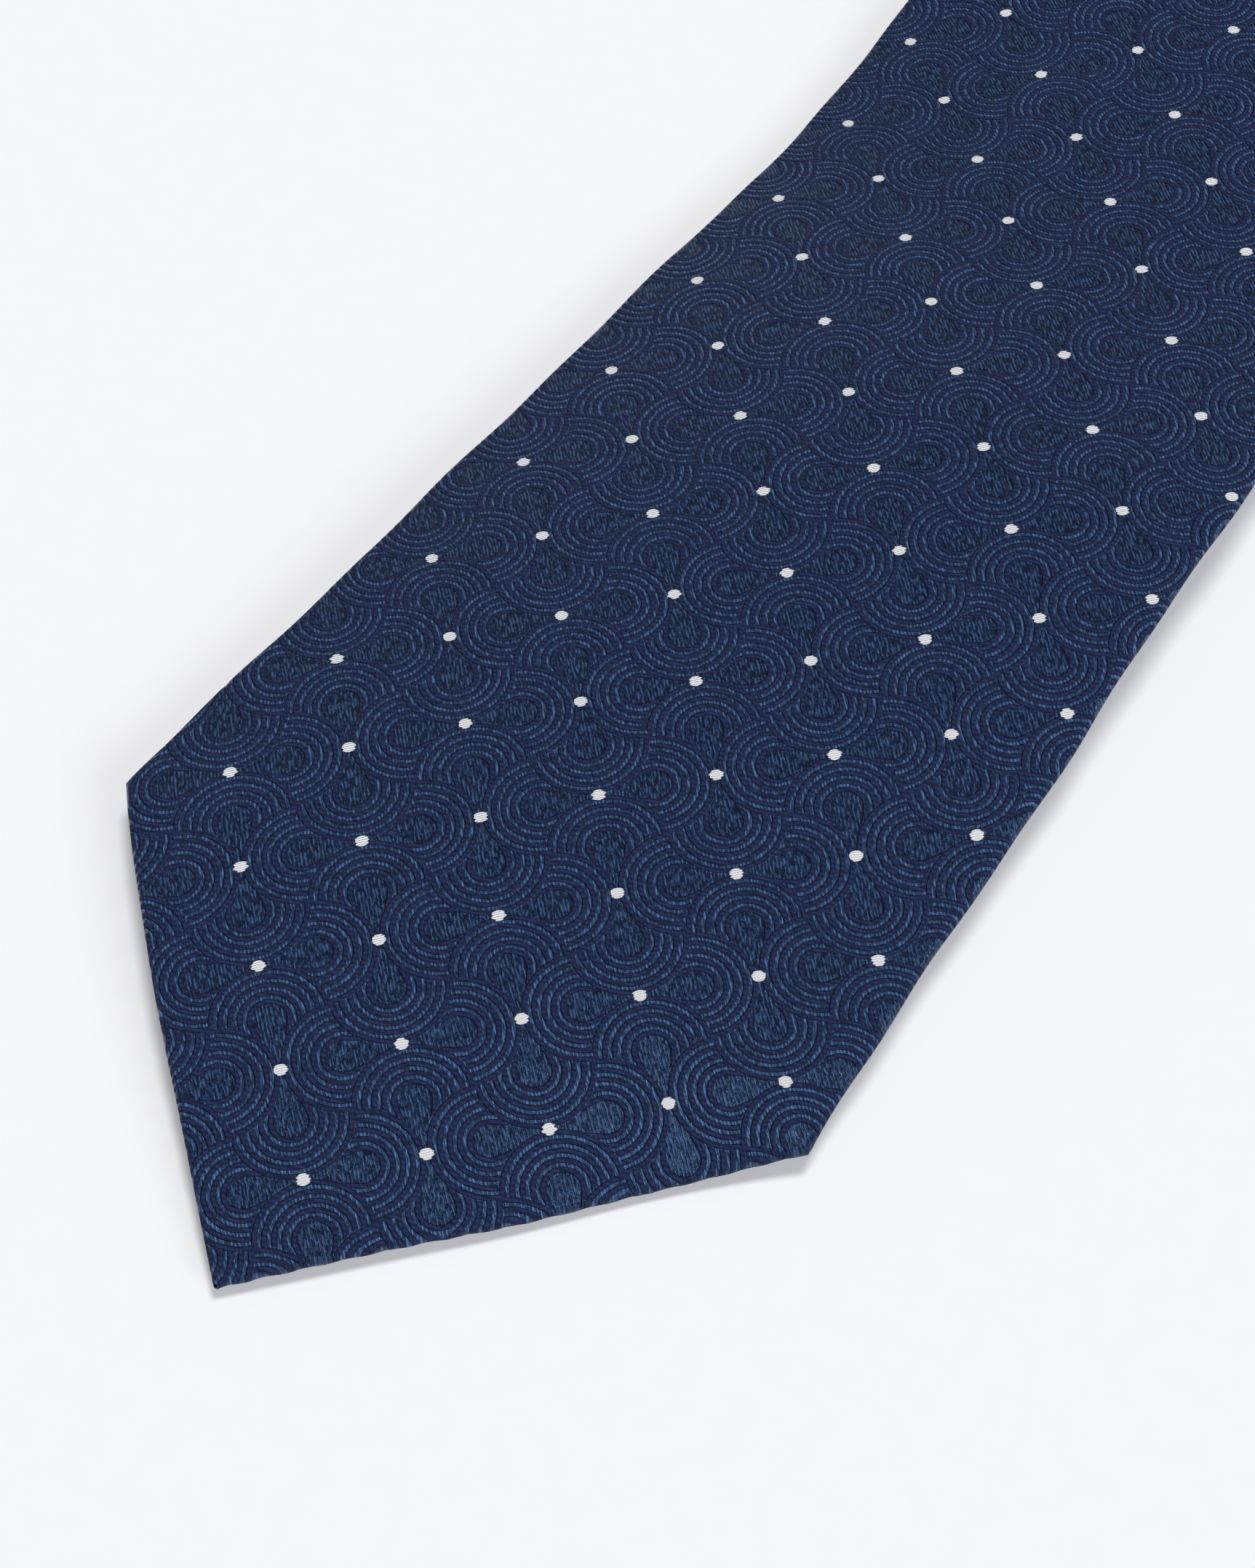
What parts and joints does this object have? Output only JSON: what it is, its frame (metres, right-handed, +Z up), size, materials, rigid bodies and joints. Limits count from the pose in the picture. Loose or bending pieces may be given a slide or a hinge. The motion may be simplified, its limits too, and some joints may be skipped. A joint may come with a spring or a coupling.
{
  "type": "necktie",
  "caption": "Long bias-cut necktie with a square-pointed wide blade, narrow tail, interlining and keeper loop, folded once at the neck.",
  "frame": {"origin": "under the middle of the folded tie, on the surface it lies on", "axes": "+X across the tie, +Y from the tips towards the fold, +Z up, out of the face of the wide blade"},
  "size_m": [0.08, 0.7673, 0.0066],
  "materials": {
    "silk": "navy silk jacquard with raised ribs and white pin dots",
    "wool_blanket": "brushed off-white wool interlining",
    "lining_silk": "plain navy satin",
    "navy_thread": "twisted navy sewing thread",
    "label_cloth": "blank woven damask label",
    "care_cloth": "blank white satin ribbon"
  },
  "bodies": {
    "tail_half": {"tail_shell": "silk", "neck_gusset_tail_side": "silk", "tail_interlining": "wool_blanket", "tail_tipping": "lining_silk", "tail_tipping_stitches": "navy_thread", "tail_slip_stitch": "navy_thread", "tail_join_stitches": "navy_thread", "tail_bar_tack": "navy_thread", "care_label": "care_cloth", "care_label_stitches": "navy_thread", "neck_gusset_fold": "silk", "interlining_fold": "wool_blanket", "slip_stitch_fold": "navy_thread"},
    "blade_half": {"blade_shell": "silk", "neck_gusset_blade_side": "silk", "blade_interlining": "wool_blanket", "blade_tipping": "lining_silk", "blade_tipping_stitches": "navy_thread", "blade_slip_stitch": "navy_thread", "blade_join_stitches": "navy_thread", "blade_bar_tack": "navy_thread", "keeper_loop": "silk", "keeper_loop_stitches": "navy_thread", "woven_label": "label_cloth", "woven_label_stitches": "navy_thread"}
  },
  "joints": [
    {"name": "neck_fold", "type": "hinge", "parent": "tail_half", "child": "blade_half", "pos_m": [0, 0.38035, 0.0033], "axis": [-1, 0, 0], "range_deg": [0, 178], "deforming": ["neck_gusset_fold", "interlining_fold", "slip_stitch_fold"]}
  ]
}
